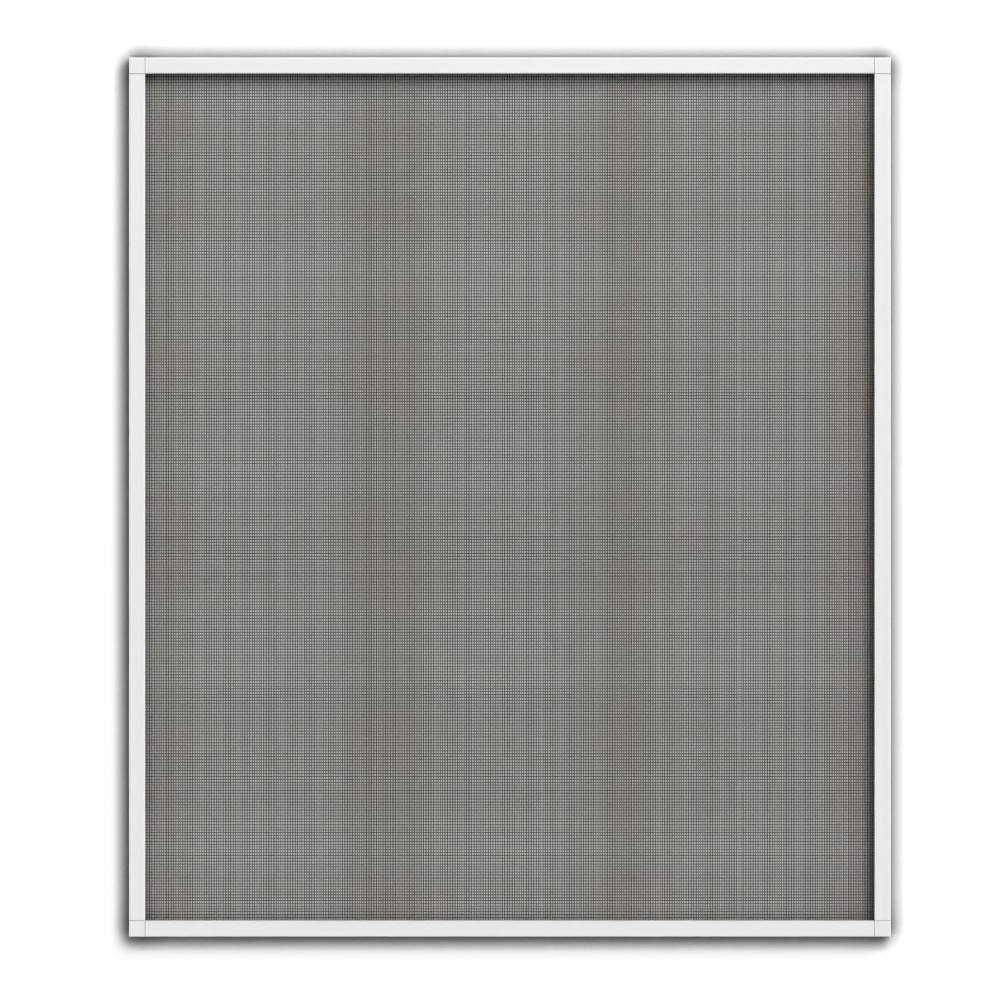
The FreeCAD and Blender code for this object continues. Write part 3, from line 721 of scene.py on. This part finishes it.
board_half_height = OPENING_HALF[2] + BOARD_PAST_OPENING
board = upright(
    "white_board",
    OPENING_HALF[0] + BOARD_PAST_OPENING,
    BOARD_BEHIND,
    FRAME_MIDDLE[2] - board_half_height,
    FRAME_MIDDLE[2] + board_half_height,
)
board_paint, board_tree, board_open = shaded_paint("white_board_paint", BOARD_RAYS)
board_whiteness = add_node(
    board_tree,
    "ShaderNodeMapRange",
    values={"From Min": BOARD_OPEN[0], "From Max": BOARD_OPEN[1]},
    links={"Value": board_open},
)
# Painted shade on the board near the bars and behind the threads.
board_shade = add_node(
    board_tree,
    "ShaderNodeMix",
    settings={"data_type": "RGBA"},
    values={"A": (0.0, 0.0, 0.0, 1.0), "B": linear(BOARD_WHITE)},
    links={"Factor": board_whiteness.outputs["Result"]},
)
one_sided(board_tree, seen_white(board_tree, board_shade.outputs["Result"], BOARD_GLOW))
board.data.materials.append(board_paint)

near, far = -FLOOR_HALF, FLOOR_HALF
floor = flat_square(
    "pale_floor", [(x, y, FLOOR_LEVEL) for x, y in ((near, near), (far, near), (far, far), (near, far))]
)
floor_paint, floor_tree, floor_shader, _ = new_finish("pale_floor_paint")
floor_tone = add_node(
    floor_tree,
    "ShaderNodeMix",
    settings={"data_type": "RGBA"},
    values={"A": linear(FLOOR_BOUNCE), "B": linear(FLOOR_PALE)},
    links={"Factor": in_sight(floor_tree)},
)
floor_tree.links.new(floor_tone.outputs["Result"], floor_shader.inputs["Base Color"])
floor_shader.inputs["Roughness"].default_value = FLOOR_ROUGHNESS
floor.data.materials.append(floor_paint)

# The light is a plain soft studio: a white dome with one large soft box to the upper right in front,
# another behind for the back of the screen, and a small lamp above the front, which makes the top of
# the frame a little lighter than its foot.
DOME = 0.08
FRONT_BOX = (0.70, -1.0, 0.90)
FRONT_BOX_LIGHT = 5.85
BACK_BOX = (-0.5, 1.0, 0.6)
BACK_BOX_LIGHT = 9.0
BOX_EDGE = math.cos(math.radians(36))
BOX_CORE = math.cos(math.radians(12))
OVERHEAD_PLACE = (0.25, -0.9, 1.9)
OVERHEAD_AIM = (0.0, 0.0, 0.75)
OVERHEAD_SIZE = 0.6
OVERHEAD_POWER = 3.9

world = bpy.data.worlds.new("white_studio")
world.use_nodes = True
world_tree = world.node_tree
world_tree.nodes.clear()
sky_direction = add_node(world_tree, "ShaderNodeTexCoord")
box_levels = []
for box_direction, box_light in ((FRONT_BOX, FRONT_BOX_LIGHT), (BACK_BOX, BACK_BOX_LIGHT)):
    toward_box = add_node(
        world_tree,
        "ShaderNodeVectorMath",
        settings={"operation": "DOT_PRODUCT"},
        values={1: Vector(box_direction).normalized()},
        links={0: sky_direction.outputs["Generated"]},
    )
    box_level = add_node(
        world_tree,
        "ShaderNodeMapRange",
        settings={"interpolation_type": "SMOOTHSTEP"},
        values={"From Min": BOX_EDGE, "From Max": BOX_CORE, "To Min": 0.0, "To Max": box_light},
        links={"Value": toward_box.outputs["Value"]},
    )
    box_levels.append(box_level.outputs["Result"])
both_boxes = add_node(
    world_tree,
    "ShaderNodeMath",
    settings={"operation": "ADD"},
    links={0: box_levels[0], 1: box_levels[1]},
)
light_level = add_node(
    world_tree,
    "ShaderNodeMath",
    settings={"operation": "ADD"},
    values={1: DOME},
    links={0: both_boxes.outputs["Value"]},
)
sky_level = add_node(
    world_tree,
    "ShaderNodeMix",
    values={"B": 1.0},
    links={"Factor": in_sight(world_tree), "A": light_level.outputs["Value"]},
)
dome = add_node(
    world_tree,
    "ShaderNodeBackground",
    values={"Color": (1.0, 1.0, 1.0, 1.0)},
    links={"Strength": sky_level.outputs["Result"]},
)
add_node(world_tree, "ShaderNodeOutputWorld", links={"Surface": dome.outputs["Background"]})
bpy.context.scene.world = world

lamp_data = bpy.data.lights.new("overhead_lamp", "AREA")
lamp_data.size = OVERHEAD_SIZE
lamp_data.energy = OVERHEAD_POWER
lamp = bpy.data.objects.new("overhead_lamp", lamp_data)
lamp.location = OVERHEAD_PLACE
lamp.rotation_euler = (Vector(OVERHEAD_AIM) - lamp.location).to_track_quat("-Z", "Y").to_euler()
lamp.visible_camera = False
bpy.context.scene.collection.objects.link(lamp)

# The camera looks straight at the front, far enough back for the frame to look square. The picture's
# width and middle, in metres at the front of the frame, give the frame its place in the photo.
CAMERA_DISTANCE = 30.0
PICTURE_WIDTH = 1.187
PICTURE_MIDDLE = (-0.0116, 0.5183)
SENSOR = 36.0
camera_data = bpy.data.cameras.new("camera")
camera_data.sensor_width = SENSOR
camera_data.lens = SENSOR * CAMERA_DISTANCE / PICTURE_WIDTH
camera = bpy.data.objects.new("camera", camera_data)
camera.location = (PICTURE_MIDDLE[0], cad_box[0].y - CAMERA_DISTANCE, PICTURE_MIDDLE[1])
camera.rotation_euler = (math.pi / 2, 0, 0)
bpy.context.scene.collection.objects.link(camera)
bpy.context.scene.camera = camera
bpy.context.scene.view_settings.view_transform = "Standard"
